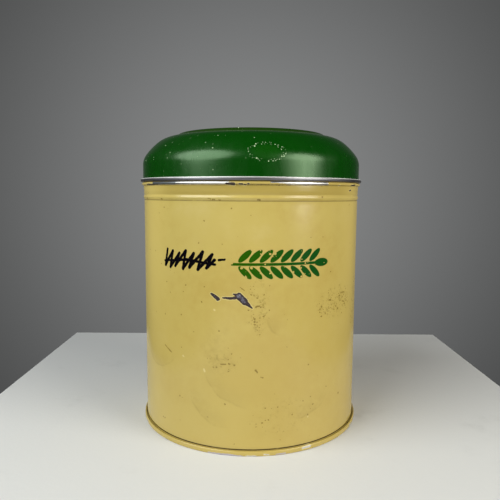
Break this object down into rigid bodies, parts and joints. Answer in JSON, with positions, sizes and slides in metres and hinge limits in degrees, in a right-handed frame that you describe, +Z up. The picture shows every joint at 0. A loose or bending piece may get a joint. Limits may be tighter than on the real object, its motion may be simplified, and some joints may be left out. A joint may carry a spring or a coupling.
{
  "type": "kitchen canister",
  "caption": "Round pressed-tin kitchen canister with a double-seamed base and a domed slip-on lid that lifts off.",
  "frame": {"origin": "centre of the plane that the tin stands on", "axes": "+Z up along the tin's axis; -Y is the printed front"},
  "size_m": [0.165, 0.165, 0.2121],
  "materials": {
    "cream_enamel": "gloss, worn",
    "green_enamel": "gloss, worn"
  },
  "bodies": {
    "tin": {"body_wall": "cream_enamel", "base_panel": "cream_enamel"},
    "lid": {"lid_shell": "green_enamel"}
  },
  "joints": [
    {"name": "lid_lift", "type": "slide", "parent": "tin", "child": "lid", "axis": [0, 0, 1], "range_m": [0, 0.12]}
  ]
}
